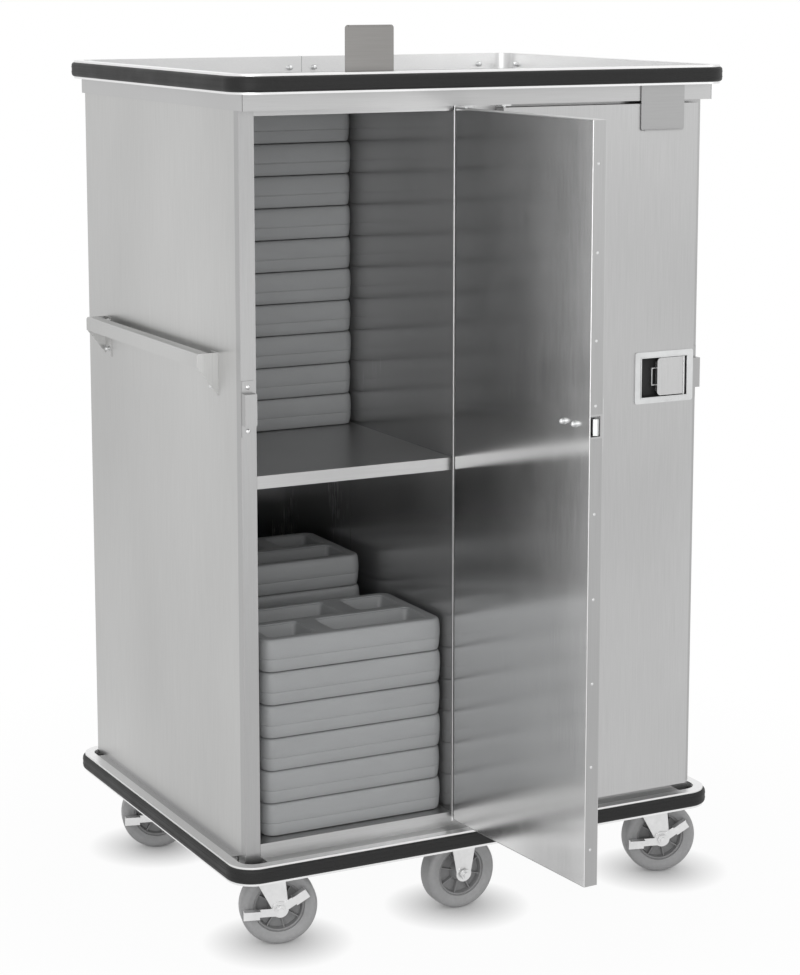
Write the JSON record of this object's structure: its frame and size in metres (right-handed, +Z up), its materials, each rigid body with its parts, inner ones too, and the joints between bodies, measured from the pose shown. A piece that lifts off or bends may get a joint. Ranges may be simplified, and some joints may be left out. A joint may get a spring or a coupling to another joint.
{
  "type": "enclosed meal tray cart",
  "caption": "Enclosed stainless meal tray cart with overlay doors on a centre mullion, bumper rails, flip lock plates, side push handles and braked swivel casters.",
  "frame": {"origin": "on the floor under the middle of the cabinet", "axes": "+Z up, -Y towards the doors, +X to the right of a person facing the doors"},
  "size_m": [1.1024, 1.2906, 1.7804],
  "materials": {
    "panel_steel": "brushed",
    "inner_steel": "satin",
    "rail_aluminium": "satin",
    "bumper_vinyl": "matte",
    "hardware_zinc": "bright",
    "wheel_rubber": "matte",
    "tray_plastic": "satin"
  },
  "bodies": {
    "cabinet": {"left_side_panel": "panel_steel", "right_side_panel": "panel_steel", "back_panel": "panel_steel", "front_posts": "inner_steel", "center_mullion": "inner_steel", "lintels": "inner_steel", "header_band": "panel_steel", "roof_deck": "panel_steel", "top_rail": "rail_aluminium", "top_bumper": "bumper_vinyl", "rail_bolts": "hardware_zinc", "left_liner": "inner_steel", "right_liner": "inner_steel", "left_shelf": "inner_steel", "right_shelf": "inner_steel", "floor_pans": "inner_steel", "base_frame": "inner_steel", "cross_members": "inner_steel", "base_rail": "rail_aluminium", "base_bumper": "bumper_vinyl", "base_infill": "inner_steel", "left_handle": "panel_steel", "right_handle": "panel_steel", "handle_bolts": "hardware_zinc", "strikes": "hardware_zinc", "lock_brackets": "inner_steel", "hinge_posts": "hardware_zinc", "caster_plates": "hardware_zinc", "rigid_forks": "hardware_zinc"},
    "left_door": {"left_door_skin": "panel_steel", "left_door_liner": "inner_steel", "left_door_hinges": "hardware_zinc", "left_latch_cup": "hardware_zinc"},
    "left_paddle": {"left_paddle": "inner_steel"},
    "left_bolt": {"left_bolt": "hardware_zinc"},
    "right_door": {"right_door_skin": "panel_steel", "right_door_liner": "inner_steel", "right_door_hinges": "hardware_zinc", "right_latch_cup": "hardware_zinc"},
    "right_paddle": {"right_paddle": "inner_steel"},
    "right_bolt": {"right_bolt": "hardware_zinc"},
    "left_lock_plate": {"left_lock_plate": "inner_steel"},
    "right_lock_plate": {"right_lock_plate": "inner_steel"},
    "front_left_swivel": {"front_left_fork": "hardware_zinc"},
    "front_left_wheel": {"front_left_wheel": "wheel_rubber"},
    "front_left_brake": {"front_left_brake": "hardware_zinc"},
    "front_right_swivel": {"front_right_fork": "hardware_zinc"},
    "front_right_wheel": {"front_right_wheel": "wheel_rubber"},
    "front_right_brake": {"front_right_brake": "hardware_zinc"},
    "front_middle_wheel": {"front_middle_wheel": "wheel_rubber"},
    "rear_left_swivel": {"rear_left_fork": "hardware_zinc"},
    "rear_left_wheel": {"rear_left_wheel": "wheel_rubber"},
    "rear_left_brake": {"rear_left_brake": "hardware_zinc"},
    "rear_right_swivel": {"rear_right_fork": "hardware_zinc"},
    "rear_right_wheel": {"rear_right_wheel": "wheel_rubber"},
    "rear_right_brake": {"rear_right_brake": "hardware_zinc"},
    "rear_middle_wheel": {"rear_middle_wheel": "wheel_rubber"},
    "front_trays": {"front_tray_stack": "tray_plastic"},
    "rear_trays": {"rear_tray_stack": "tray_plastic"},
    "upper_trays": {"upper_tray_stack": "tray_plastic"}
  },
  "joints": [
    {"name": "left_door_hinge", "type": "hinge", "parent": "cabinet", "child": "left_door", "pos_m": [-0.0415, -0.4136, 0.9199], "axis": [0, 0, 1], "range_deg": [-94, 0]},
    {"name": "left_paddle_pivot", "type": "hinge", "parent": "left_door", "child": "left_paddle", "pos_m": [-0.00361, -0.82646, 1.0764], "axis": [0, 0, 1], "range_deg": [-40, 0], "stiffness_Nm_per_rad": 0.6, "springref_deg": 12},
    {"name": "left_bolt_slide", "type": "slide", "parent": "left_door", "child": "left_bolt", "axis": [-0.0698, 0.9976, 0], "range_m": [0, 0.01]},
    {"name": "right_door_hinge", "type": "hinge", "parent": "cabinet", "child": "right_door", "pos_m": [0.0415, -0.4136, 0.9199], "axis": [0, 0, -1], "range_deg": [0, 90]},
    {"name": "right_paddle_pivot", "type": "hinge", "parent": "right_door", "child": "right_paddle", "pos_m": [0.456, -0.4226, 1.0764], "axis": [0, 0, -1], "range_deg": [-40, 0], "stiffness_Nm_per_rad": 0.6, "springref_deg": 12},
    {"name": "right_bolt_slide", "type": "slide", "parent": "right_door", "child": "right_bolt", "axis": [-1, 0, 0], "range_m": [0, 0.01]},
    {"name": "left_lock_pivot", "type": "hinge", "parent": "cabinet", "child": "left_lock_plate", "pos_m": [-0.323, -0.4271, 1.6744], "axis": [0, 1, 0], "range_deg": [-180, 0]},
    {"name": "right_lock_pivot", "type": "hinge", "parent": "cabinet", "child": "right_lock_plate", "pos_m": [0.323, -0.4271, 1.6744], "axis": [0, -1, 0], "range_deg": [0, 180]},
    {"name": "front_left_swivel_turn", "type": "hinge", "parent": "cabinet", "child": "front_left_swivel", "pos_m": [-0.442, -0.314, 0.1904], "axis": [0, 0, 1], "continuous": true},
    {"name": "front_left_wheel_spin", "type": "hinge", "parent": "front_left_swivel", "child": "front_left_wheel", "pos_m": [-0.40547, -0.32447, 0.0762], "axis": [0.2756, 0.9613, 0], "continuous": true},
    {"name": "front_left_brake_rock", "type": "hinge", "parent": "front_left_swivel", "child": "front_left_brake", "pos_m": [-0.40547, -0.32447, 0.0762], "axis": [0.2756, 0.9613, 0], "range_deg": [0, 14]},
    {"name": "front_right_swivel_turn", "type": "hinge", "parent": "cabinet", "child": "front_right_swivel", "pos_m": [0.442, -0.314, 0.1904], "axis": [0, 0, 1], "continuous": true},
    {"name": "front_right_wheel_spin", "type": "hinge", "parent": "front_right_swivel", "child": "front_right_wheel", "pos_m": [0.47853, -0.32447, 0.0762], "axis": [0.2756, 0.9613, 0], "continuous": true},
    {"name": "front_right_brake_rock", "type": "hinge", "parent": "front_right_swivel", "child": "front_right_brake", "pos_m": [0.47853, -0.32447, 0.0762], "axis": [0.2756, 0.9613, 0], "range_deg": [0, 14]},
    {"name": "front_middle_wheel_spin", "type": "hinge", "parent": "cabinet", "child": "front_middle_wheel", "pos_m": [0, -0.314, 0.0762], "axis": [0, 1, 0], "continuous": true},
    {"name": "rear_left_swivel_turn", "type": "hinge", "parent": "cabinet", "child": "rear_left_swivel", "pos_m": [-0.442, 0.314, 0.1904], "axis": [0, 0, 1], "continuous": true},
    {"name": "rear_left_wheel_spin", "type": "hinge", "parent": "rear_left_swivel", "child": "rear_left_wheel", "pos_m": [-0.40547, 0.30353, 0.0762], "axis": [0.2756, 0.9613, 0], "continuous": true},
    {"name": "rear_left_brake_rock", "type": "hinge", "parent": "rear_left_swivel", "child": "rear_left_brake", "pos_m": [-0.40547, 0.30353, 0.0762], "axis": [0.2756, 0.9613, 0], "range_deg": [0, 14]},
    {"name": "rear_right_swivel_turn", "type": "hinge", "parent": "cabinet", "child": "rear_right_swivel", "pos_m": [0.442, 0.314, 0.1904], "axis": [0, 0, 1], "continuous": true},
    {"name": "rear_right_wheel_spin", "type": "hinge", "parent": "rear_right_swivel", "child": "rear_right_wheel", "pos_m": [0.47853, 0.30353, 0.0762], "axis": [0.2756, 0.9613, 0], "continuous": true},
    {"name": "rear_right_brake_rock", "type": "hinge", "parent": "rear_right_swivel", "child": "rear_right_brake", "pos_m": [0.47853, 0.30353, 0.0762], "axis": [0.2756, 0.9613, 0], "range_deg": [0, 14]},
    {"name": "rear_middle_wheel_spin", "type": "hinge", "parent": "cabinet", "child": "rear_middle_wheel", "pos_m": [0, 0.314, 0.0762], "axis": [0, 1, 0], "continuous": true},
    {"name": "front_trays_slide", "type": "slide", "parent": "cabinet", "child": "front_trays", "axis": [0, -1, 0], "range_m": [0, 0.3]},
    {"name": "rear_trays_slide", "type": "slide", "parent": "cabinet", "child": "rear_trays", "axis": [0, -1, 0], "range_m": [0, 0.3]},
    {"name": "upper_trays_slide", "type": "slide", "parent": "cabinet", "child": "upper_trays", "axis": [0, -1, 0], "range_m": [0, 0.62]}
  ],
  "couplings": [
    {"joint": "left_bolt_slide", "follows": "left_paddle_pivot", "m_per_rad": -0.014324},
    {"joint": "right_bolt_slide", "follows": "right_paddle_pivot", "m_per_rad": -0.014324},
    {"joint": "rear_trays_slide", "follows": "front_trays_slide", "ratio": 1}
  ]
}
